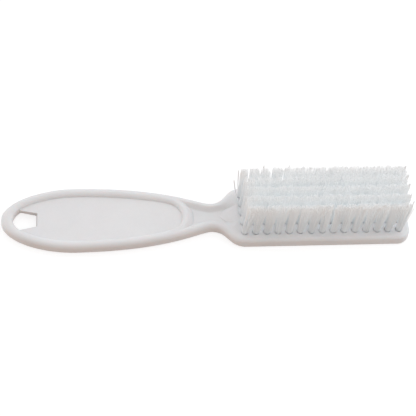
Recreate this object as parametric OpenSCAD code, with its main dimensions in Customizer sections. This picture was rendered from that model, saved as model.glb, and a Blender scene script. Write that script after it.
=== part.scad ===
// Nail brush: a one-piece moulded handle and head, with nylon tufts held in the head
// by short flat wires. It lies on its back, bristles up (+Z), with the head towards +X.
// The origin is on the underside, midway along the length.

/* [Body] */
// Length from the handle's tip to the end of the head
length = 178; // [174:1:190]
// Thickness of the head and of the handle's rim
body_h = 5.6; // [5:0.1:7]
// Width of the handle at its widest
handle_w = 31.8; // [28:0.1:34]
// Place of the widest section, measured from the tip
wide_from_tip = 31.5; // [28:0.5:36]
// Width of the neck at its narrowest
neck_w = 13.1; // [12:0.1:15]
// Place of the narrowest section, measured from the tip
neck_from_tip = 90.8; // [88:0.2:92]
// Width of the head
head_w = 29.2; // [27:0.1:32]
// Place where the head's straight sides begin, measured from the tip
sides_from_tip = 105; // [104:0.5:107]
// Radius of the head's two outer corners, seen from above
head_corner_r = 5.5; // [4.6:0.1:7]
// Height of the rounding along the head's edges
head_round = 1.5; // [0.8:0.1:2.2]

/* [Rim] */
// Width of the rim along the handle's sides
rim_w = 4.1; // [3.4:0.1:4.8]
// Width of the rim round the hanging hole, at the tip
tip_rim_w = 5.1; // [4.4:0.1:5.6]
// Width of each ridge along the neck, down to the channel's floor
neck_rim_w = 4.7; // [4:0.1:5.2]
// Width of each ridge where the neck opens into the head
flare_rim_w = 8; // [6:0.2:8.4]
// Distance from the outer edge to the rim's crest, on the handle
crest_w = 2.1; // [1.5:0.1:2.4]
// The same distance at the tip
tip_crest_w = 2.8; // [2:0.1:3]
// The same distance along the neck
neck_crest_w = 1.6; // [1.3:0.1:1.9]
// The same distance where the neck opens into the head
flare_crest_w = 2.4; // [1.6:0.1:2.8]
// Height of the rounding on the rim's outer side
rim_round = 1.9; // [1.2:0.1:2.4]

/* [Web and hanging hole] */
// Thickness of the flat web inside the rim
web_t = 1.8; // [1.2:0.1:2.4]
// Height of the web's upper face
web_top = 3.9; // [3.4:0.1:4.2]
// Distance from the tip to the hole's straight edge
hole_end = 14.9; // [13:0.1:17]
// Width of the hole along that straight edge
hole_w = 6.8; // [5:0.2:8]
// How fast each side of the hole opens towards the tip, in degrees
hole_flare = 15.8; // [5:0.1:20]

/* [Bridge across the handle's end] */
// Inner radius of the round end of the handle's recess
nose_r = 7.7; // [7:0.1:8.4]
// Place of that round end, measured from the tip
nose_from_tip = 78.1; // [76:0.1:80]
// Width of the rounding from the recess up to the bridge's crest
bridge_round = 1.4; // [1:0.1:1.8]
// Width of the bridge's flat crest
bridge_crest = 0.8; // [0.4:0.1:1.6]
// Length of the slope from the crest down to the neck's channel
bridge_slope = 2.9; // [1.5:0.1:3.2]

/* [Head ramp] */
// Distance from the tip to the point of the head's ramp
ramp_from_tip = 94.2; // [93:0.2:96]
// Length of the ramp from its point up to the head's top face
ramp_len = 8.2; // [6:0.2:9]
// Angle of each edge of the ramp's point to the length, in degrees
ramp_edge_angle = 46; // [42:1:56]
// Height of the small step at those edges
ramp_step = 0.3; // [0.2:0.05:0.5]
// Slope of the two facets above the step, in degrees
facet_angle = 13; // [10:1:20]

/* [Tufts] */
// Number of tufts along the head
columns = 15; // [8:1:15]
// Number of tufts across the head
rows = 5; // [3:2:5]
// Distance between tufts along the head
column_pitch = 4.87; // [4.7:0.01:4.87]
// Distance between tufts across the head
row_pitch = 4.92; // [4.7:0.01:5]
// Distance from the last tufts to the end of the head
last_column = 5.2; // [4.8:0.1:6]
// Diameter of the blind holes for the tufts
bore_d = 3; // [2.8:0.1:3.2]
// Depth of those holes
bore_depth = 4.2; // [4:0.1:4.6]
// Diameter of a tuft at its fold
tuft_root_d = 2.7; // [2.4:0.1:2.7]
// Diameter of a tuft at its cut tips
tuft_tip_d = 4.4; // [3.2:0.1:4.5]
// Height of the tips above the head's top face
tuft_h = 18.4; // [12:0.1:22]
// Lean of the tufts towards the end of the head, in degrees
tuft_lean = 2; // [0:0.1:2.4]

/* [Anchor wires] */
// Thickness of the flat wire
wire_t = 0.45; // [0.3:0.05:0.6]
// Height of the flat wire as it stands in its hole
wire_h = 1.6; // [1.2:0.1:1.8]
// Length of the wire, ends pressed into the plastic
wire_len = 3.9; // [3.6:0.1:4.2]
// Turn of the wires from the head's length, in degrees
wire_turn = 45; // [0:5:90]
// Room under the wire for the fold of the tuft
fold_room = 0.5; // [0.3:0.1:0.6]

/* [Hidden] */
// Node names: the body, and the tufts and wires of each column, numbered from the neck
function numbered(name) = [for (i = [1:columns]) str(name, i < 10 ? "_0" : "_", i)];

// Roundness of the drilled holes and tufts
$fn = 32;
// Margin by which a cutter runs past the face that it cuts
over = 1;
// How far the rim's foot and the web reach into each other
bite = 0.1;
// Larger than any part of the brush, for cutters and bounds
far = 300;

tip_x = -length / 2;
end_x = length / 2;
wide_x = tip_x + wide_from_tip;
neck_x = tip_x + neck_from_tip;
side_x = tip_x + sides_from_tip;
ramp_x = tip_x + ramp_from_tip;
nose_x = tip_x + nose_from_tip - nose_r;
web_low = web_top - web_t;

// How far each curve of the outline follows its end tangents
tip_pull = 9.2;
wide_pull_back = 14.6;
wide_pull_ahead = 40.5;
neck_pull_back = 5;
neck_pull_ahead = 7.2;
side_pull = 7.8;
// Number of straight steps in each curve of the outline
handle_steps = 16;
flare_steps = 12;

// A cubic curve from p[0] to p[3], without its last point
function curve(p, steps) = [
    for (i = [0:steps - 1])
        let (t = i / steps, s = 1 - t)
            s * s * s * p[0] + 3 * s * s * t * p[1] + 3 * s * t * t * p[2] + t * t * t * p[3]
];

// The +Y half of the outline, from the tip to the middle of the head's end
corner_x = end_x - head_corner_r;
corner_y = head_w / 2 - head_corner_r;
half_outline = concat(
    curve([
        [tip_x, 0],
        [tip_x, tip_pull],
        [wide_x - wide_pull_back, handle_w / 2],
        [wide_x, handle_w / 2]
    ], handle_steps),
    curve([
        [wide_x, handle_w / 2],
        [wide_x + wide_pull_ahead, handle_w / 2],
        [neck_x - neck_pull_back, neck_w / 2],
        [neck_x, neck_w / 2]
    ], handle_steps),
    curve([
        [neck_x, neck_w / 2],
        [neck_x + neck_pull_ahead, neck_w / 2],
        [side_x - side_pull, head_w / 2],
        [side_x, head_w / 2]
    ], flare_steps),
    [[side_x, head_w / 2]],
    [for (a = [90:-15:0]) [corner_x + head_corner_r * cos(a), corner_y + head_corner_r * sin(a)]],
    [[end_x, 0]]
);
last = len(half_outline) - 1;
outline = concat(half_outline, [for (i = [last - 1:-1:1]) [half_outline[i].x, -half_outline[i].y]]);
count = len(outline);

// Stretches along the brush in which the rim's section changes, as [start, end]
tip_stretch = [tip_x, tip_x + 7];
neck_stretch = [neck_x - 22, neck_x - 5];
flare_stretch = [neck_x + 2, neck_x + 8];
head_stretch = [neck_x + 9, neck_x + 17];

// Smooth change from 0 to 1 over a stretch of x
function ease(x, stretch) =
    let (t = min(1, max(0, (x - stretch[0]) / (stretch[1] - stretch[0])))) t * t * (3 - 2 * t);

// Width of the rim, distance to its crest, height of its outer rounding, and the share
// of the soft inner slope that the neck's ridges have in place of a round one
function rim_width(x) =
    tip_rim_w
    + (rim_w - tip_rim_w) * ease(x, tip_stretch)
    + (neck_rim_w - rim_w) * ease(x, neck_stretch)
    + (flare_rim_w - neck_rim_w) * (ease(x, flare_stretch) - ease(x, head_stretch));
function crest_width(x) =
    tip_crest_w
    + (crest_w - tip_crest_w) * ease(x, tip_stretch)
    + (neck_crest_w - crest_w) * ease(x, neck_stretch)
    + (flare_crest_w - neck_crest_w) * ease(x, flare_stretch)
    + (head_round - flare_crest_w) * ease(x, head_stretch);
function round_height(x) = rim_round + (head_round - rim_round) * ease(x, head_stretch);
function softness(x) = ease(x, neck_stretch);

// Unit vector into the brush at point i of the outline
function inward(i) =
    let (d = outline[(i + 1) % count] - outline[(i + count - 1) % count])
        [d.y, -d.x] / norm(d);

// The line of the rim's crest, all round the brush
crest_line = [
    for (i = [0:count - 1]) outline[i] + inward(i) * crest_width(outline[i].x)
];

// Upper half of the rim's section at a place x, from its outer side to its foot on a web
// whose face is drop below the rim's face: points of [distance inwards, depth below that face]
arc_steps = 4;
function half_section(x, drop) =
    let (
        crest = crest_width(x),
        foot = rim_width(x) - crest,
        height = round_height(x),
        soft = softness(x)
    )
        concat(
            [for (k = [0:arc_steps]) let (a = 90 * k / arc_steps) [crest * (1 - cos(a)), height * (1 - sin(a))]],
            [
                for (k = [1:arc_steps])
                    let (
                        t = k / arc_steps,
                        round_point = [foot * sin(90 * t), drop * (1 - cos(90 * t))],
                        soft_point = [foot * t, drop * t * t * (3 - 2 * t)],
                        point = (1 - soft) * round_point + soft * soft_point
                    )
                        [crest + point.x, point.y]
            ]
        );

// Whole section of the rim at a place x, as points of [distance inwards, height]
function rim_section(x) =
    let (
        upper = half_section(x, body_h - web_top + bite),
        lower = half_section(x, web_low + bite)
    )
        concat(
            [for (p = upper) [p.x, body_h - p.y]],
            [for (i = [len(lower) - 1:-1:0]) lower[i]]
        );

// The rounded rim, carried all the way round the outline
module rim() {
    sections = [for (p = outline) rim_section(p.x)];
    side_points = len(sections[0]);
    points = [
        for (i = [0:count - 1])
            let (p = outline[i], n = inward(i))
                for (q = sections[i]) [p.x + n.x * q.x, p.y + n.y * q.x, q.y]
    ];
    faces = [
        for (i = [0:count - 1], k = [0:side_points - 1])
            let (
                a = i * side_points + k,
                b = i * side_points + (k + 1) % side_points,
                c = ((i + 1) % count) * side_points + (k + 1) % side_points,
                d = ((i + 1) % count) * side_points + k
            )
                for (f = [[a, c, b], [a, d, c]]) f
    ];
    polyhedron(points, faces);
}

// Everything inside the rim's crest, between two heights
module filling(z0, z1) {
    translate([0, 0, z0])
        linear_extrude(z1 - z0) polygon(crest_line);
}

// Flat web of the handle and neck, with the hanging hole cut through it
module web() {
    difference() {
        intersection() {
            filling(web_low, web_top);
            translate([-far, -far / 2, 0]) cube([far + side_x, far, far]);
        }
        hanging_hole();
    }
}

// Opening between the web and the tip: straight right edge, sides that open towards the tip
module hanging_hole() {
    edge_x = tip_x + hole_end;
    tip_half = hole_w / 2 + hole_end * tan(hole_flare);
    translate([0, 0, -over])
        linear_extrude(body_h + 2 * over)
            polygon([
                [edge_x, -hole_w / 2],
                [edge_x, hole_w / 2],
                [tip_x, tip_half],
                [tip_x, -tip_half]
            ]);
}

// Raised bridge that closes the round end of the handle's recess, on both faces
module bridge() {
    crest_r = nose_r + bridge_round;
    slope_r = crest_r + bridge_crest;
    turns = [0:22.5:90];
    intersection() {
        filling(0, body_h);
        translate([nose_x, -far / 2, 0]) cube([far, far, body_h]);
        translate([nose_x, 0, 0])
            rotate_extrude($fn = 96)
                polygon(concat(
                    [for (a = turns) [crest_r - bridge_round * cos(a), web_low * (1 - sin(a))]],
                    [
                        [slope_r, 0],
                        [slope_r + bridge_slope, web_low],
                        [slope_r + bridge_slope, web_top],
                        [slope_r, body_h]
                    ],
                    [
                        for (a = turns)
                            [crest_r - bridge_round * sin(a), body_h - (body_h - web_top) * (1 - cos(a))]
                    ]
                ));
    }
}

// Plan of the head's block: a point on the neck, with straight edges that open at an angle
module head_plan() {
    reach = far / 2;
    reach_x = ramp_x + reach / tan(ramp_edge_angle);
    polygon([[ramp_x, 0], [reach_x, reach], [far, reach], [far, -reach], [reach_x, -reach]]);
}

// Solid block of the head. It starts as a low step on the neck's web, with a facet along
// each edge of its point, and rises as a ramp to the head's top face
module head_block() {
    ramp_angle = atan((body_h - web_top) / ramp_len);
    difference() {
        intersection() {
            filling(0, body_h);
            linear_extrude(body_h) head_plan();
        }
        translate([ramp_x, -far / 2, web_top])
            rotate([0, -ramp_angle, 0])
                translate([-far, 0, 0]) cube([far + ramp_len / cos(ramp_angle), far, far]);
        for (side = [-1, 1])
            translate([ramp_x, 0, web_top + ramp_step])
                rotate([0, 0, side * ramp_edge_angle])
                    rotate([-side * facet_angle, 0, 0])
                        translate([-far / 2, -far / 2, 0]) cube(far);
    }
}

first_x = end_x - last_column - (columns - 1) * column_pitch;
function column_x(column) = first_x + (column - 1) * column_pitch;
row_y = [for (r = [0:rows - 1]) (r - (rows - 1) / 2) * row_pitch];
bore_floor = body_h - bore_depth;
wire_floor = bore_floor + fold_room;
wire_top = wire_floor + wire_h;

// Flat wire across the bottom of one hole, its two ends in the plastic
module wire(x, y) {
    translate([x, y, wire_floor])
        rotate([0, 0, wire_turn])
            translate([-wire_len / 2, -wire_t / 2, 0]) cube([wire_len, wire_t, wire_h]);
}

// Bundle of bristles above the fold, leaning from the middle of its hole
module tuft(x, y) {
    tuft_len = body_h + tuft_h - wire_top;
    lift = tuft_root_d / 2 * sin(tuft_lean);
    translate([x, y, wire_top + lift])
        rotate([0, tuft_lean, 0])
            cylinder(h = tuft_len - 2 * lift, d1 = tuft_root_d, d2 = tuft_tip_d);
}

// Handle and head in one moulding, with the blind holes and the seats that the wires press
module body() {
    color("whitesmoke")
        difference() {
            union() {
                rim();
                web();
                bridge();
                head_block();
            }
            for (column = [1:columns], y = row_y) {
                translate([column_x(column), y, bore_floor])
                    cylinder(h = bore_depth + over, d = bore_d);
                wire(column_x(column), y);
            }
        }
}

module tuft_column(column) {
    color("gainsboro")
        for (y = row_y) tuft(column_x(column), y);
}

module anchor_wires(column) {
    color("goldenrod")
        for (y = row_y) wire(column_x(column), y);
}

body();
for (column = [1:columns]) {
    tuft_column(column);
    anchor_wires(column);
}
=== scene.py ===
import math

import bpy
import numpy as np
from mathutils import Matrix, Vector


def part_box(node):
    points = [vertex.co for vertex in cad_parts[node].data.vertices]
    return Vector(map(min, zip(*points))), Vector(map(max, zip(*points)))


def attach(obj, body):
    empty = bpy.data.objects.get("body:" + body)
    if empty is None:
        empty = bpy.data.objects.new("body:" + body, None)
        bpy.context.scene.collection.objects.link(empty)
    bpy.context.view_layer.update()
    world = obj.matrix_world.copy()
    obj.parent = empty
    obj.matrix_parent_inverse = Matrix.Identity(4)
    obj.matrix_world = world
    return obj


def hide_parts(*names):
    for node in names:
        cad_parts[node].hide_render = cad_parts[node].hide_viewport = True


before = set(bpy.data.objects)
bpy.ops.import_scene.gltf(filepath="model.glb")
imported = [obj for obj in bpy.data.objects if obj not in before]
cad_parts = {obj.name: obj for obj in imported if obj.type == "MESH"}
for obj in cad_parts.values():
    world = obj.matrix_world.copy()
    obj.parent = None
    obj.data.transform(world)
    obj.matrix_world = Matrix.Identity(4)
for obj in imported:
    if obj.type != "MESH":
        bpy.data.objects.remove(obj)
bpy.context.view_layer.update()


# The body
# Handle, neck and head are one injection moulding in white polypropylene, 5.6 mm thick. A
# full round rim runs about a thin web, with the same recesses on the upper and lower face,
# and the surface is left as it comes out of the polished mould.
MM = 0.001
low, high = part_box("body")
TIP, END, TOP = low.x, high.x, high.z
HANDLE_HALF = high.y
NECK_HALF = 6.55 * MM
HEAD_HALF = 14.6 * MM
WIDEST = TIP + 31.5 * MM
NECK = TIP + 90.8 * MM
SIDE_START = TIP + 105 * MM
CORNER = 5.5 * MM
# The pull at each curve's start and at its end: round the tip, down to the neck, out to the head.
TIP_PULLS = 9.2 * MM, 14.6 * MM
TAPER_PULLS = 40.5 * MM, 5 * MM
FLARE_PULLS = 7.2 * MM, 7.8 * MM


def curve_points(start, pull_start, pull_end, end, steps):
    """Points of a cubic curve from start, without its last point."""
    t = np.arange(steps)[:, None] / steps
    s = 1 - t
    ends = [np.array(p, float) for p in (start, pull_start, pull_end, end)]
    return s**3 * ends[0] + 3 * s * s * t * ends[1] + 3 * s * t * t * ends[2] + t**3 * ends[3]


def eased(x, start, end):
    """A smooth change from 0 to 1 between two places along the brush."""
    t = np.clip((x - start) / (end - start), 0, 1)
    return t * t * (3 - 2 * t)


# The plan of the whole body, from the tip round the far side to the head and back.
corner_turn = np.radians(np.arange(90, -1, -7.5))[:, None]
corner_middle = np.array([END - CORNER, HEAD_HALF - CORNER])
half_plan = np.vstack([
    curve_points(
        (TIP, 0),
        (TIP, TIP_PULLS[0]),
        (WIDEST - TIP_PULLS[1], HANDLE_HALF),
        (WIDEST, HANDLE_HALF),
        steps=72,
    ),
    curve_points(
        (WIDEST, HANDLE_HALF),
        (WIDEST + TAPER_PULLS[0], HANDLE_HALF),
        (NECK - TAPER_PULLS[1], NECK_HALF),
        (NECK, NECK_HALF),
        steps=64,
    ),
    curve_points(
        (NECK, NECK_HALF),
        (NECK + FLARE_PULLS[0], NECK_HALF),
        (SIDE_START - FLARE_PULLS[1], HEAD_HALF),
        (SIDE_START, HEAD_HALF),
        steps=40,
    ),
    [(SIDE_START, HEAD_HALF)],
    corner_middle + CORNER * np.hstack([np.cos(corner_turn), np.sin(corner_turn)]),
    [(END, 0)],
])
plan = np.vstack([half_plan, half_plan[-2:0:-1] * (1, -1)])
run = np.roll(plan, -1, axis=0) - np.roll(plan, 1, axis=0)
run /= np.linalg.norm(run, axis=1)[:, None]
inward = np.stack([run[:, 1], -run[:, 0]], axis=1)
along = plan[:, 0]
far_half = np.arange(len(plan)) < len(half_plan)

# How far in from the outer edge the rim's crest and its foot on the web lie: at the tip,
# along the handle, along the neck, in the channel's widest part, and along the head.
CREST_IN = np.array((2.8, 2.1, 2.1, 2.6, 1.5)) * MM
FOOT_IN = np.array((5.0, 4.1, 4.7, 8.0, 4.7)) * MM
RIM_ROUND = 1.9 * MM
HEAD_ROUND = 1.5 * MM
to_neck = eased(along, NECK - 22 * MM, NECK - 5 * MM)
to_channel = eased(along, NECK + 2 * MM, NECK + 8 * MM)
to_head = eased(along, NECK + 9 * MM, NECK + 17 * MM)
crest_changes = eased(along, TIP, TIP + 7 * MM), to_neck, to_channel, to_head
foot_changes = eased(along, TIP, TIP + 5.5 * MM), to_neck, to_channel, to_head
crest = CREST_IN[0] + np.diff(CREST_IN) @ crest_changes
foot = FOOT_IN[0] + np.diff(FOOT_IN) @ foot_changes
rounding = RIM_ROUND + (HEAD_ROUND - RIM_ROUND) * to_head


def at(places, height):
    """A ring of points in space, from a plan and a height or a row of heights."""
    return np.column_stack([places, np.broadcast_to(height, len(places))])


def stack_rings(name, rings, folded=False):
    """A closed solid: a filled ring, extruded once for each ring that follows it.
    A folded one starts from a ring whose two halves lie on each other, with no face."""
    storey = 10 * MM
    bpy.ops.object.select_all(action="DESELECT")
    bpy.ops.mesh.primitive_circle_add(vertices=len(rings[0]), fill_type="NGON")
    made = bpy.context.object
    made.name = name
    bpy.ops.object.mode_set(mode="EDIT")
    bpy.ops.mesh.select_all(action="SELECT")
    for _ in rings[1:]:
        bpy.ops.mesh.extrude_region_move(TRANSFORM_OT_translate={"value": (0, 0, storey)})
    if folded:
        bpy.ops.mesh.select_all(action="DESELECT")
        bpy.ops.object.mode_set(mode="OBJECT")
        for face in made.data.polygons:
            face.select = face.center.z < storey / 10
        bpy.ops.object.mode_set(mode="EDIT")
        bpy.ops.mesh.select_mode(type="FACE")
        bpy.ops.mesh.delete(type="ONLY_FACE")
        bpy.ops.mesh.select_mode(type="VERT")
    bpy.ops.object.mode_set(mode="OBJECT")
    made.data.vertices.foreach_set("co", np.vstack(rings).astype(np.float32).ravel())
    bpy.ops.object.mode_set(mode="EDIT")
    bpy.ops.mesh.select_all(action="SELECT")
    bpy.ops.mesh.remove_doubles(threshold=0.001 * MM)
    bpy.ops.mesh.normals_make_consistent(inside=False)
    bpy.ops.object.mode_set(mode="OBJECT")
    return made


def cut(piece, tool):
    """Cuts one closed solid out of another, and throws the tool away. An exact cut can
    leave slivers with open edges, so points that nearly meet are merged after it."""
    bpy.ops.object.select_all(action="DESELECT")
    piece.select_set(True)
    bpy.context.view_layer.objects.active = piece
    modifier = piece.modifiers.new("cut", "BOOLEAN")
    modifier.operation = "DIFFERENCE"
    modifier.solver = "EXACT"
    modifier.object = tool
    bpy.ops.object.modifier_apply(modifier="cut")
    bpy.data.objects.remove(tool)
    bpy.ops.object.mode_set(mode="EDIT")
    bpy.ops.mesh.select_all(action="SELECT")
    bpy.ops.mesh.remove_doubles(threshold=0.002 * MM)
    bpy.ops.object.mode_set(mode="OBJECT")


# The blank: from the lower crest out round the edge and back in to the upper crest.
rim_rings = [
    (plan + inward * (crest * (1 - math.cos(a)))[:, None], rounding * (1 - math.sin(a)))
    for a in np.radians(np.linspace(0, 90, 9))
]
lower_rim = [at(places, height) for places, height in rim_rings[::-1]]
upper_rim = [at(places, TOP - height) for places, height in rim_rings]
body = stack_rings("handle_and_head", lower_rim + upper_rim)

# The handle's recess, on both faces: down the rim's round inner side and round the nose,
# its round end at the bridge.
WEB_TOP = 3.9 * MM
WEB_LOW = 2.1 * MM
OVER = 2 * MM
NOSE = TIP + 70.4 * MM
NOSE_RADIUS = 7.7 * MM
NOSE_SLOPE = 1.4 * MM
NOSE_BLEND = 4 * MM
# For the upper and the lower face: rise from the web to the face, web, place clear of the body.
FACES = (
    (TOP - WEB_TOP, WEB_TOP, TOP + OVER),
    (-WEB_LOW, WEB_LOW, -OVER),
)
crest_plan = plan + inward * crest[:, None]
foot_plan = plan + inward * foot[:, None]
by_recess = np.flatnonzero(far_half & (foot_plan[:, 0] < NOSE + 0.5 * MM))
nose_turn = np.radians(np.arange(80, -81, -5))[:, None]
nose_arc = np.hstack([np.cos(nose_turn), np.sin(nose_turn)])


def recess_ring(share):
    """The recess's edge part of the way from the rim's crest, 0, to its foot, 1."""
    side = crest_plan[by_recess] + (foot_plan[by_recess] - crest_plan[by_recess]) * share
    radius = NOSE_RADIUS + NOSE_SLOPE * (1 - share)
    ring = np.vstack([side, np.array([NOSE, 0]) + radius * nose_arc, side[:0:-1] * (1, -1)])
    for _ in range(10):
        softer = (np.roll(ring, 1, axis=0) + 2 * ring + np.roll(ring, -1, axis=0)) / 4
        ring = np.where(abs(ring[:, :1] - NOSE) < NOSE_BLEND, softer, ring)
    return ring


for rise, web, outside in FACES:
    rings = []
    for t in np.radians(np.linspace(90, 9, 10)):
        rings.append(at(recess_ring(math.sin(t)), web + rise * math.cos(t)))
    rings.append(at(rings[-1][:, :2], outside))
    cut(body, stack_rings("recess", rings))

# The neck's channel, on both faces: it starts at the slope of the bridge, and runs out
# along the two sides of the head's ramp.
BRIDGE_EDGE = 2.2 * MM
BRIDGE_SLOPE = 2.9 * MM
RAMP = TIP + 94.1 * MM
RAMP_TOP = TIP + 102.4 * MM
RAMP_ANGLE = math.radians(46)
BLOCK_END = RAMP + 14 * MM
RUN_OUT = RAMP + 3.4 * MM
RUN_OUT_OVER = 0.02
by_channel = np.flatnonzero(far_half & (along > NOSE - 2 * MM) & (along < NECK + 13 * MM))
softness = to_neck[by_channel]
spent = np.clip((foot_plan[by_channel, 0] - RUN_OUT) / (RAMP_TOP - RUN_OUT), 0, 1)
run_out = (1 + RUN_OUT_OVER) * (1 - spent) - RUN_OUT_OVER


def mirrored(half):
    """A whole ring, from its far half that starts on the middle line."""
    return np.vstack([half, half[:0:-1] * (1, -1, 1)])


def channel_ring(t, rise, web):
    """The channel's edge at a share t of its slope, with the height of each point."""
    # The rim's side: a quarter round by the handle, and an S along the neck.
    drop = (1 - softness) * (1 - np.cos(t * math.pi / 2)) + softness * eased(t, 0, 1)
    share = (1 - softness) * np.sin(t * math.pi / 2) + softness * t
    edge = crest_plan[by_channel] + (foot_plan[by_channel] - crest_plan[by_channel]) * share[:, None]
    # It starts where it leaves the bridge, which is round the nose of the recess.
    radius = NOSE_RADIUS + BRIDGE_EDGE + BRIDGE_SLOPE * t
    from_nose = np.hypot(edge[:, 0] - NOSE, edge[:, 1])
    start = np.flatnonzero(from_nose <= radius)[-1] + 1
    into = (radius - from_nose[start - 1]) / (from_nose[start] - from_nose[start - 1])
    corner = edge[start - 1] + (edge[start] - edge[start - 1]) * into
    edge = np.vstack([corner, edge[start:]])
    drop = np.append(drop[start], drop[start:]) * np.append(run_out[start], run_out[start:])
    length = np.append(0, np.cumsum(np.linalg.norm(np.diff(edge, axis=0), axis=1)))
    even = np.linspace(0, length[-1], 72)
    edge_x, edge_y, drop = (np.interp(even, length, values) for values in (*edge.T, drop))
    # The bridge's slope, an arc from the middle line to that corner.
    arc_share = np.linspace(0, 1, 14)[:-1]
    angle = math.atan2(corner[1], corner[0] - NOSE) * arc_share
    arc_drop = 0.6 * t + 0.4 * eased(t, 0, 1)
    x = np.append(NOSE + radius * np.cos(angle), edge_x)
    y = np.append(radius * np.sin(angle), edge_y)
    drop = np.append(arc_drop + (drop[0] - arc_drop) * arc_share**4, drop)
    return mirrored(at(np.column_stack([x, y]), web + rise * (1 - drop)))


def block_ring(inset, height):
    """The plan of the head's block on the neck: a point, and edges that open at an angle."""
    point = RAMP + inset / math.sin(RAMP_ANGLE)
    x = np.linspace(point, BLOCK_END, 15)
    y = (x - point) * math.tan(RAMP_ANGLE)
    return mirrored(at(np.column_stack([x, y]), height(x)))


def ramp_height(x):
    """The ramp, from the web up to the head's deck."""
    return WEB_TOP + (TOP - WEB_TOP) * (x - RAMP) / (RAMP_TOP - RAMP)


def step_height(x):
    """The low step that the ramp stands on."""
    return WEB_TOP + 0.3 * MM * eased(x, RAMP, RAMP + 2 * MM)


# The block that the channel leaves standing, with the ramp on the upper face alone. Each
# ring lies farther in than the one before: the broken edge of the step, and the ramp's own.
STEP_EDGE, STEP_DROP = 0.08 * MM, 0.06 * MM
RAMP_FOOT, RAMP_EDGE, RAMP_DROP = 2.0 * MM, 2.3 * MM, 0.05 * MM
upper_block = [
    block_ring(0, lambda x: WEB_TOP - 1 * MM),
    block_ring(0, lambda x: step_height(x) - STEP_DROP),
    block_ring(STEP_EDGE, step_height),
    block_ring(RAMP_FOOT, lambda x: np.maximum(ramp_height(x) - RAMP_DROP, step_height(x))),
    block_ring(RAMP_EDGE, ramp_height),
]
lower_block = [
    block_ring(0, lambda x: -OVER),
    block_ring(0, lambda x: WEB_LOW + 1 * MM),
]
for (rise, web, outside), block in zip(FACES, (upper_block, lower_block)):
    rings = [channel_ring(t, rise, web) for t in np.linspace(1, 0.08, 10)]
    rings.insert(0, rings[0] * (1, 0, 1))
    rings.append(at(rings[-1][:, :2], outside))
    channel = stack_rings("channel", rings, folded=True)
    cut(channel, stack_rings("block", block))
    cut(body, channel)

# The hanging hole: a straight right edge, and sides that open to the rim's round inner foot.
HOLE_END = TIP + 14.9 * MM
HOLE_HALF = 3.4 * MM
HOLE_SLOPE = math.tan(math.radians(15.8))
HOLE_LIP = 0.7 * MM
hole_foot = plan + inward * (foot - 0.04 * MM)[:, None]
half_width = HOLE_HALF + (HOLE_END - hole_foot[:, 0]) * HOLE_SLOPE
arc = hole_foot[(hole_foot[:, 0] < HOLE_END) & (abs(hole_foot[:, 1]) < half_width)]
arc = arc[np.argsort(arc[:, 1])]
hole = np.vstack([[(HOLE_END, -HOLE_HALF)], arc, [(HOLE_END, HOLE_HALF)]])
wide_hole = hole + (HOLE_LIP, 0) * (hole[:, :1] > HOLE_END - 0.1 * MM)
hanging_hole = stack_rings("hanging_hole", [
    at(hole, -OVER),
    at(hole, WEB_LOW + 0.3 * MM),
    at(wide_hole, WEB_TOP + 0.01 * MM),
    at(wide_hole, TOP + OVER),
])
cut(body, hanging_hole)

# The blind holes of the tufts, drilled by one gang of drills that also break the edge.
COLUMNS, ROWS = 15, 5
COLUMN_PITCH, ROW_PITCH = 4.87 * MM, 4.92 * MM
LAST_COLUMN = END - 5.2 * MM
HOLE_RADIUS, HOLE_DEPTH = 1.5 * MM, 4.2 * MM
BROKEN_EDGE, BROKEN_DEPTH = 0.25 * MM, 0.2 * MM
spots = [
    (LAST_COLUMN - (COLUMNS - 1 - column) * COLUMN_PITCH, (row - (ROWS - 1) / 2) * ROW_PITCH)
    for column in range(COLUMNS)
    for row in range(ROWS)
]
drill_turn = np.radians(np.arange(0, 360, 15))
circle = np.column_stack([np.cos(drill_turn), np.sin(drill_turn)])
drill = stack_rings("drill", [
    at(circle * HOLE_RADIUS, TOP - HOLE_DEPTH),
    at(circle * HOLE_RADIUS, TOP - BROKEN_DEPTH),
    at(circle * (HOLE_RADIUS + BROKEN_EDGE), TOP + 0.05 * MM),
    at(circle * (HOLE_RADIUS + BROKEN_EDGE), TOP + OVER),
])
drills = []
for x, y in spots:
    next_drill = drill.copy()
    next_drill.data = drill.data.copy()
    next_drill.data.transform(Matrix.Translation((x, y, 0)))
    bpy.context.collection.objects.link(next_drill)
    drills.append(next_drill)
bpy.data.objects.remove(drill)
bpy.ops.object.select_all(action="DESELECT")
for next_drill in drills:
    next_drill.select_set(True)
bpy.context.view_layer.objects.active = drills[0]
bpy.ops.object.join()
cut(body, bpy.context.object)

bpy.ops.object.select_all(action="DESELECT")
body.select_set(True)
bpy.context.view_layer.objects.active = body
bpy.ops.object.shade_smooth_by_angle(angle=math.radians(28))
even_shading = body.modifiers.new("even_shading", "WEIGHTED_NORMAL")
even_shading.keep_sharp = True
even_shading.weight = 100
bpy.ops.object.modifier_apply(modifier="even_shading")


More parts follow.
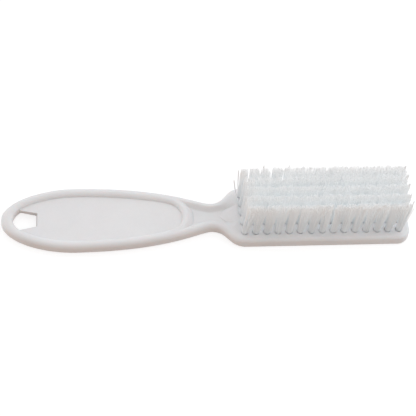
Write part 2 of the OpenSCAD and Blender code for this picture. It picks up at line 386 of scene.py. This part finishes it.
class Signal:
    """A socket of one finish's node tree, so that arithmetic on it adds its Math nodes."""

    def __init__(self, tree, socket):
        self.tree, self.socket = tree, socket

    def node(self, kind, settings=(), inputs=(), output=0):
        """Adds a node: its settings first, then a value or a link for each socket named."""
        made = self.tree.nodes.new(kind)
        for name, value in dict(settings).items():
            setattr(made, name, value)
        for name, value in dict(inputs).items():
            if isinstance(value, Signal):
                self.tree.links.new(value.socket, made.inputs[name])
            else:
                made.inputs[name].default_value = value
        return Signal(self.tree, made.outputs[output])

    def maths(self, operation, a, b):
        return self.node("ShaderNodeMath", {"operation": operation}, {0: a, 1: b})

    def __add__(self, other):
        return self.maths("ADD", self, other)

    def __radd__(self, other):
        return self.maths("ADD", other, self)

    def __sub__(self, other):
        return self.maths("SUBTRACT", self, other)

    def __rsub__(self, other):
        return self.maths("SUBTRACT", other, self)

    def __mul__(self, other):
        return self.maths("MULTIPLY", self, other)

    def __rmul__(self, other):
        return self.maths("MULTIPLY", other, self)

    def __pow__(self, other):
        return self.maths("POWER", self, other)

    def between(self, start, end):
        """0 where the value is at start or before it, 1 at end or past it, smooth between."""
        inputs = {"Value": self, "From Min": start, "From Max": end}
        return self.node("ShaderNodeMapRange", {"interpolation_type": "SMOOTHSTEP"}, inputs)

    def noise(self, scale, detail):
        """A cloudy pattern of values about 0.5, read at the places that this signal holds."""
        inputs = {"Vector": self, "Scale": scale, "Detail": detail}
        return self.node("ShaderNodeTexNoise", (), inputs)

    def tint(self, low, high):
        """A colour that goes from low to high as the value goes from 0 to 1."""
        low, high = (end if isinstance(end, Signal) else (*end, 1) for end in (low, high))
        return self.node("ShaderNodeMix", {"data_type": "RGBA"}, {0: self, 6: low, 7: high}, 2)


def new_finish(name):
    """A material with its Principled shader, and a signal that reads places on the object."""
    finish = bpy.data.materials.new(name)
    finish.use_nodes = True
    tree = finish.node_tree
    shader = tree.nodes["Principled BSDF"]
    place = Signal(tree, tree.nodes.new("ShaderNodeTexCoord").outputs["Object"])
    return finish, shader, place


def feed(shader, **values):
    """Sets a shader's sockets, by number or by signal."""
    for name, value in values.items():
        socket = shader.inputs[name.replace("_", " ")]
        if isinstance(value, Signal):
            value.tree.links.new(value.socket, socket)
        else:
            socket.default_value = value


# White polypropylene: a little warm, cloudy at the scale of the flow in the mould, with
# fine handling scratches and the hair line where the two halves of the mould meet.
PLASTIC_DULL, PLASTIC_BRIGHT = (0.805, 0.785, 0.78), (0.835, 0.815, 0.81)
# The colour and the half width of the painted glow on the deck between the tufts.
DECK_PAINTED_GLOW = (0.095, 0.088, 0.088)
PARTING_LINE = 2.8 * MM
PAINTED_GLOW_HALF_WIDTH = 11.2 * MM
plastic, shader, place = new_finish("white_polypropylene")
lengthwise, crosswise, upward = (
    place.node("ShaderNodeSeparateXYZ", (), {0: place}, axis) for axis in range(3)
)
cloud = place.noise(70, 3)
speck = place.noise(900, 2)
grain = place.noise(2600, 3)
parting = 1 - ((upward - PARTING_LINE) ** 2).between((0.03 * MM) ** 2, (0.1 * MM) ** 2)
along_scratch = {"Vector": place, "Rotation": (0, 0, 0.5), "Scale": (60, 1400, 1400)}
scratch = place.node("ShaderNodeMapping", (), along_scratch).noise(1, 2).between(0.62, 0.72)
relief = grain * 0.25 + cloud * 0.4 - scratch * 0.35 + parting * 1.2

# A painted glow on the deck between the tufts, which stands in for light that comes up through the
# cloudy plastic there.
first_tuft, last_tuft = spots[0][0], spots[-1][0]
deck = upward.between(TOP - 0.2 * MM, TOP - 0.1 * MM)
deck = deck * lengthwise.between(first_tuft - 2 * MM, first_tuft)
deck = deck * lengthwise.between(last_tuft + 2 * MM, last_tuft + 1 * MM)
deck = deck * (crosswise**2).between(PAINTED_GLOW_HALF_WIDTH**2, (PAINTED_GLOW_HALF_WIDTH - 1.4 * MM) ** 2)
feed(
    shader,
    Base_Color=(cloud * 0.7 + speck * 0.3).between(0.3, 0.7).tint(PLASTIC_DULL, PLASTIC_BRIGHT),
    Roughness=0.3 + cloud * 0.1 + scratch * 0.12,
    Normal=place.node("ShaderNodeBump", (), {"Strength": 0.35, "Distance": 0.02 * MM, "Height": relief}),
    IOR=1.49,
    # The deck between the tufts glows with painted light.
    Emission_Color=deck.tint((0, 0, 0), DECK_PAINTED_GLOW),
    Emission_Strength=1.0,
    Subsurface_Weight=0.3,
    Subsurface_Radius=(1.0, 0.7, 0.6),
    Subsurface_Scale=1.2 * MM,
)
body.data.materials.clear()
body.data.materials.append(plastic)

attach(body, "root")
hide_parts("body")


# The tufts
# Each is a bundle of white nylon filament, folded in two over its anchor wire, pulled
# into its hole and trimmed level after filling. Out of the hole the bundle opens until
# the tips of neighbours touch. One piece holds the five tufts of a column.
BRISTLES = 72
BRISTLE_RADIUS = 0.14 * MM
SEGMENTS = 4
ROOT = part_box("tuft_column_01")[0].z
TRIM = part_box("tuft_column_01")[1].z - 0.4 * MM
LEAN = math.tan(math.radians(2))
GOLDEN_TURN = 2.39996
# How far a tuft opens along and across the brush, and how much lower the near side of each
# row stands than its middle. Rows are counted from the near side.
ROOT_RADIUS = 1.3 * MM
REACH_ALONG = 2.65 * MM
REACH_ACROSS = np.array((1.4, 1.4, 1.6, 1.9, 2.3)) * MM
NEAR_SIDE_DROP = np.array((1.5, 2.6, 1.6, 0.9, 0.4)) * MM
OUTER_DROP = 0.5 * MM
FIRST_ROOTS_BACK = 0.2 * MM
# Tips gather at knots, and a few stand away from theirs.
KNOTS = 22
KNOT_REACH = 2.4 * MM
KNOT_PULL = 0.28
LOOSE_SHARE = 0.06
LOOSE_REACH = 0.6 * MM
# How unevenly roots, tips, their heights, the heights of whole knots, and clumps are placed.
ROOT_SCATTER = 0.03 * MM
TIP_SCATTER = 0.12 * MM
HEIGHT_SCATTER = 0.12 * MM
KNOT_HEIGHT_SCATTER = 0.16 * MM
CLUMP_ROOT_RADIUS = 1.2 * MM
CLUMP_SCATTER = 0.18 * MM
CLUMP_HEIGHT_SCATTER = 0.1 * MM
SWAY = 0.05 * MM
chance = np.random.default_rng(7)

# One bristle: a five-sided filament on end, in as many lengths as it needs to bend.
bpy.ops.object.select_all(action="DESELECT")
bpy.ops.mesh.primitive_circle_add(vertices=5, radius=BRISTLE_RADIUS, fill_type="NGON")
bristle = bpy.context.object
bpy.ops.object.mode_set(mode="EDIT")
bpy.ops.mesh.select_all(action="SELECT")
for _ in range(SEGMENTS):
    bpy.ops.mesh.extrude_region_move(TRANSFORM_OT_translate={"value": (0, 0, 1 / SEGMENTS)})
bpy.ops.mesh.select_all(action="SELECT")
bpy.ops.mesh.normals_make_consistent(inside=False)
bpy.ops.object.mode_set(mode="OBJECT")
bpy.ops.object.shade_smooth_by_angle(angle=math.radians(80))
bristle_points = np.array([v.co for v in bristle.data.vertices])
bristle_plan, share_up = bristle_points[:, :2], bristle_points[:, 2]
sawn = bristle.data.attributes.new("sawn", "FLOAT", "FACE")
sawn.data.foreach_set("value", [float(face.normal.z > 0.9) for face in bristle.data.polygons])

# White nylon filament, with painted shade that darkens it towards the root and a little
# random tone in streaks. Its sawn end is rougher and painted a little darker, as painted
# shade against the stronger light it catches from above. A painted glow stands in for the
# light that clear filament carries along, and each bristle has its own share of that glow.
FILAMENT_PAINTED_SHADE, FILAMENT_UNSHADED = (0.858, 0.88, 0.894), (1.0, 1.0, 1.0)
# The sawn end's colour is painted shade, a little darker than the filament's tip.
SAWN_END_PAINTED_SHADE = (0.875, 0.86, 0.85)
# The painted glow of the bristles: low down, half way up, on the sides by the tips, on the sawn end, and
# how much it varies from bristle to bristle.
PAINTED_GLOW_LOW, PAINTED_GLOW_HALF_WAY = (0.054, 0.056, 0.056), (0.042, 0.049, 0.052)
PAINTED_GLOW_BY_TIP, PAINTED_GLOW_SAWN = (0.0435, 0.041, 0.0385), (0.026, 0.02, 0.019)
PAINTED_GLOW_SPREAD = 1.2
nylon, shader, place = new_finish("white_nylon_filament")
upward = place.node("ShaderNodeSeparateXYZ", (), {0: place}, 2)
sawn_end = place.node("ShaderNodeAttribute", {"attribute_name": "sawn"}, (), 2)
own_glow_share = place.node("ShaderNodeAttribute", {"attribute_name": "own_glow_share"}, (), 2)
along_streak = {"Vector": place, "Scale": (1500, 1500, 40)}
streak = place.node("ShaderNodeMapping", (), along_streak).noise(1, 2)
# Painted shade: darker towards the root, with a little random tone in streaks.
clear = streak.between(0.3, 0.7) * 0.15 + upward.between(TOP - 2 * MM, TRIM - 3 * MM) * 0.85
filament = clear.tint(FILAMENT_PAINTED_SHADE, FILAMENT_UNSHADED)
side_by_tip = upward.between(TRIM - 5 * MM, TRIM - 1 * MM) * (1 - sawn_end)
# A painted glow: one colour low down, another half way up, others on the sides by the tips and on the
# sawn end, none inside the hole, and each bristle's own share on top.
painted_glow = upward.between(TOP, TOP + 8 * MM).tint(PAINTED_GLOW_LOW, PAINTED_GLOW_HALF_WAY)
painted_glow = side_by_tip.tint(painted_glow, PAINTED_GLOW_BY_TIP)
painted_glow = sawn_end.tint(painted_glow, PAINTED_GLOW_SAWN)
painted_glow = upward.between(TOP - 0.4 * MM, TOP + 0.4 * MM).tint((0, 0, 0), painted_glow)
own_part = 1 + (own_glow_share - 0.5) * (1 - sawn_end) * PAINTED_GLOW_SPREAD
painted_glow = place.node("ShaderNodeVectorMath", {"operation": "SCALE"}, {0: painted_glow, "Scale": own_part})
feed(
    shader,
    Base_Color=sawn_end.tint(filament, SAWN_END_PAINTED_SHADE),
    Roughness=0.35 + streak * 0.15 + sawn_end * 0.3,
    IOR=1.53,
    Emission_Color=painted_glow,
    Emission_Strength=1.0,
)

# How far each tuft opens and leans from the usual. The first column leans towards the end of
# the head and the outer rows towards the near side. The far row's first tufts are narrower
# and lean back to the handle.
opening = chance.normal(1, 0.03, (COLUMNS, ROWS))
leaning = chance.normal(0, 0.1, (COLUMNS, ROWS, 2)) * MM
leaning[0, :, 0] += 1.2 * MM
leaning[:, 4, 1] -= 0.25 * MM
leaning[:, 0, 1] -= 0.1 * MM
opening[:4, 4] = 0.62, 0.8, 0.8, 0.92
leaning[:4, 4, 0] = -0.6 * MM, -1.0 * MM, -1.0 * MM, -0.6 * MM

# The clumps that stand apart. For a column and row: bristles, place of the tips from the
# tuft's middle in mm, and how much higher than the trim they end in mm.
strays = {
    (0, 3): (3, (-5.0, -0.3), 0.0),
    (0, 4): (4, (-2.4, 0.1), 0.1),
    (2, 4): (9, (-1.2, 1.7), 0.8),
    (4, 4): (3, (0.3, 1.8), 0.8),
    (7, 1): (1, (-2.2, -1.4), -9.5),
    (14, 0): (6, (3.5, 1.2), 0.3),
    (14, 1): (4, (3.2, 0.9), 0.2),
    (14, 2): (6, (3.4, 1.2), 0.2),
    (14, 3): (6, (3.4, 0.9), 0.3),
    (14, 4): (4, (3.1, 1.0), 0.3),
}


def combed_tuft(column, row):
    """The points of one tuft's bristles, from the fold in its hole up to the trimmed tips."""
    order = np.arange(BRISTLES) + 0.5
    spin = order * GOLDEN_TURN + chance.uniform(0, 6.28)
    ray = np.column_stack([np.cos(spin), np.sin(spin)]) * np.sqrt(order / BRISTLES)[:, None]
    squarer = (np.hypot(*ray.T) / np.abs(ray).max(axis=1))[:, None] ** 0.8
    root = ray * ROOT_RADIUS + chance.normal(0, ROOT_SCATTER, (BRISTLES, 2))
    if column == 0:
        root[:, 0] -= FIRST_ROOTS_BACK

    # Where the tips stand: spread to a square, gathered at knots, a few of them loose.
    tip = ray * squarer * (REACH_ALONG, REACH_ACROSS[row]) * opening[column, row]
    knots = chance.uniform(-KNOT_REACH, KNOT_REACH, (KNOTS, 2))
    nearest = np.argmin(np.linalg.norm(tip[:, None] - knots[None], axis=2), axis=1)
    tip += (knots[nearest] - tip) * KNOT_PULL + chance.normal(0, TIP_SCATTER, (BRISTLES, 2))
    loose_by = chance.normal(0, LOOSE_REACH, (BRISTLES, 2))
    tip += loose_by * (chance.random((BRISTLES, 1)) < LOOSE_SHARE)
    tip += (LEAN * (TRIM - TOP), 0) + leaning[column, row]

    # How high they end.
    tip_height = TRIM + chance.normal(0, HEIGHT_SCATTER, BRISTLES) - OUTER_DROP * order / BRISTLES
    tip_height += chance.normal(0, KNOT_HEIGHT_SCATTER, KNOTS)[nearest]
    tip_height -= NEAR_SIDE_DROP[row] * np.clip(-ray[:, 1], 0, 1) ** 1.5
    if (column, row) in strays:
        clump, clump_place, clump_rise = strays[column, row]
        clump_tip = np.array(clump_place) * MM + chance.normal(0, CLUMP_SCATTER, (clump, 2))
        clump_root = clump_tip / np.linalg.norm(clump_tip, axis=1)[:, None] * CLUMP_ROOT_RADIUS
        clump_height = TRIM + clump_rise * MM + chance.normal(0, CLUMP_HEIGHT_SCATTER, clump)
        tip[-clump:], root[-clump:], tip_height[-clump:] = clump_tip, clump_root, clump_height

    # Each bristle is straight in its hole, then bends out, and sways a little on the way.
    sway = chance.normal(0, SWAY, (BRISTLES, 1, 2))
    level = ROOT + share_up * (tip_height - ROOT)[:, None]
    free = np.clip((level - TOP) / (tip_height - TOP)[:, None], 0, 1)[..., None]
    path = root[:, None] + (tip - root)[:, None] * (1.4 * free - 0.4 * free**2)
    path += sway * np.sin(free * 2 * math.pi) + np.array(spots[column * ROWS + row])
    return np.dstack([bristle_plan + path, level]).reshape(-1, 3)


for column in range(COLUMNS):
    bpy.ops.object.select_all(action="DESELECT")
    tufts = bristle.copy()
    tufts.data = bristle.data.copy()
    tufts.name = f"bristles_{column + 1:02d}"
    bpy.context.collection.objects.link(tufts)
    tufts.select_set(True)
    bpy.context.view_layer.objects.active = tufts
    bundle = tufts.modifiers.new("bundle", "ARRAY")
    bundle.count = BRISTLES * ROWS
    bundle.use_relative_offset = False
    bpy.ops.object.modifier_apply(modifier="bundle")
    combed = np.vstack([combed_tuft(column, row) for row in range(ROWS)])
    tufts.data.vertices.foreach_set("co", combed.astype(np.float32).ravel())
    # Each bristle's own share of the painted glow.
    shares = np.repeat(chance.random(BRISTLES * ROWS), len(bristle.data.polygons))
    tufts.data.attributes.new("own_glow_share", "FLOAT", "FACE").data.foreach_set("value", shares)
    tufts.data.materials.append(nylon)
    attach(tufts, "root")
    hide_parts(f"tuft_column_{column + 1:02d}")
bpy.data.objects.remove(bristle)


# The anchor wires
# Short pieces of flat drawn brass, one pressed into each hole across the fold of its
# tuft. Their ends bite into the plastic, and only these hold the bristles in.
BRASS_BRIGHT, BRASS_DULL = (0.72, 0.52, 0.22), (0.55, 0.38, 0.16)
brass, shader, place = new_finish("drawn_brass")
along_wire = {"Vector": place, "Rotation": (0, 0, -0.785), "Scale": (300, 300, 9000)}
drawn = place.node("ShaderNodeMapping", (), along_wire).noise(1, 2)
dull = place.noise(500, 3)
feed(
    shader,
    Base_Color=dull.between(0.35, 0.7).tint(BRASS_BRIGHT, BRASS_DULL),
    Metallic=1.0,
    Roughness=0.28 + drawn * 0.2 + dull * 0.12,
    Normal=place.node("ShaderNodeBump", (), {"Strength": 0.3, "Distance": 0.01 * MM, "Height": drawn}),
)
for name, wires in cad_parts.items():
    if name.startswith("anchor_wires"):
        for slot in wires.material_slots:
            slot.material = brass


# The set
# A plain white table that gives a faint warm light back to the sides of the brush, a room
# that is warm in front and cool behind, four soft lamps, and the camera of the photo.
TABLE_BOUNCE = (0.56, 0.41, 0.33, 1)
TABLE_SHADOW = (0.3, 0.3, 0.3, 1)
TABLE_GLOW = 0.8
ROOM_FRONT, ROOM_BACK = (0.56, 0.514, 0.488), (0.78, 0.825, 0.87)
bpy.ops.object.select_all(action="DESELECT")
bpy.ops.mesh.primitive_plane_add(size=6)
floor = bpy.context.object
floor.name = "floor"
tabletop = bpy.data.materials.new("white_tabletop")
tabletop.use_nodes = True
table_tree = tabletop.node_tree
table_tree.nodes.remove(table_tree.nodes["Principled BSDF"])
paths = table_tree.nodes.new("ShaderNodeLightPath").outputs
camera_ray, glossy_ray, clear_ray = (
    Signal(table_tree, paths[kind]) for kind in ("Is Camera Ray", "Is Glossy Ray", "Is Transmission Ray")
)
seen = camera_ray + glossy_ray + clear_ray
bounce = seen.node("ShaderNodeBsdfDiffuse", (), {"Color": TABLE_BOUNCE})
shadow = seen.node("ShaderNodeBsdfDiffuse", (), {"Color": TABLE_SHADOW})
glow = seen.node("ShaderNodeEmission", (), {"Color": (1, 1, 1, 1), "Strength": TABLE_GLOW})
white = seen.node("ShaderNodeAddShader", (), {0: shadow, 1: glow})
surface = seen.node("ShaderNodeMixShader", (), {0: seen, 1: bounce, 2: white})
table_tree.links.new(surface.socket, table_tree.nodes["Material Output"].inputs["Surface"])
floor.data.materials.append(tabletop)

world = bpy.data.worlds.new("studio")
bpy.context.scene.world = world
world.use_nodes = True
room_tree = world.node_tree
in_view = Signal(room_tree, room_tree.nodes.new("ShaderNodeLightPath").outputs["Is Camera Ray"])
direction = Signal(room_tree, room_tree.nodes.new("ShaderNodeTexCoord").outputs["Generated"])
toward_back = direction.node("ShaderNodeSeparateXYZ", (), {0: direction}, 1).between(-0.7, 0.5)
room = in_view.tint(toward_back.tint(ROOM_FRONT, ROOM_BACK), (1, 1, 1))
room_tree.links.new(room.socket, room_tree.nodes["Background"].inputs["Color"])

# The large lamp overhead, a faint one at each end, and a small cool one near the right
# front. For each: place, length, width, energy and colour.
WHITE_LIGHT, COOL_LIGHT = (1, 1, 1), (0.4, 0.8, 1)
LIT_POINT = Vector((0.02, 0, 0))
lamps = [
    ((0.35, 0.24, 0.78), 2.6, 0.6, 2.8, WHITE_LIGHT),
    ((-0.75, 0.05, 0.13), 0.6, 0.2, 0.85, WHITE_LIGHT),
    ((0.75, 0.05, 0.4), 0.6, 0.6, 0.6, WHITE_LIGHT),
    ((0.22, -0.12, 0.06), 0.15, 0.1, 0.05, COOL_LIGHT),
]
for location, length, width, energy, colour in lamps:
    bpy.ops.object.light_add(type="AREA", location=location)
    lamp = bpy.context.object
    lamp.rotation_euler = (LIT_POINT - lamp.location).to_track_quat("-Z", "Y").to_euler()
    lamp.data.shape = "RECTANGLE"
    lamp.data.size = length
    lamp.data.size_y = width
    lamp.data.energy = energy
    lamp.data.color = colour

AZIMUTH, ELEVATION, ROLL = math.radians(-10.455), math.radians(53.579), math.radians(7.41)
AIM = Vector((1.012, 5.290, 2.930)) * MM
DISTANCE = 529.2 * MM
FOCAL_PIXELS = 1200
PHOTO_WIDTH = 416
right = Vector((math.cos(AZIMUTH), math.sin(AZIMUTH), 0))
level_ahead = Vector((-math.sin(AZIMUTH), math.cos(AZIMUTH), 0))
ahead = level_ahead * math.cos(ELEVATION) - Vector((0, 0, math.sin(ELEVATION)))
up = right.cross(ahead)
bpy.ops.object.camera_add(location=AIM - ahead * DISTANCE)
camera = bpy.context.object
turned = Matrix((right, up, -ahead)).transposed() @ Matrix.Rotation(ROLL, 3, "Z")
camera.rotation_euler = turned.to_euler()
camera.data.lens = camera.data.sensor_width * FOCAL_PIXELS / PHOTO_WIDTH
bpy.context.scene.camera = camera
bpy.context.scene.view_settings.view_transform = "Standard"
# White filament packed this close passes light on many times before it comes out again.
bpy.context.scene.cycles.max_bounces = 32
bpy.context.scene.cycles.diffuse_bounces = 32
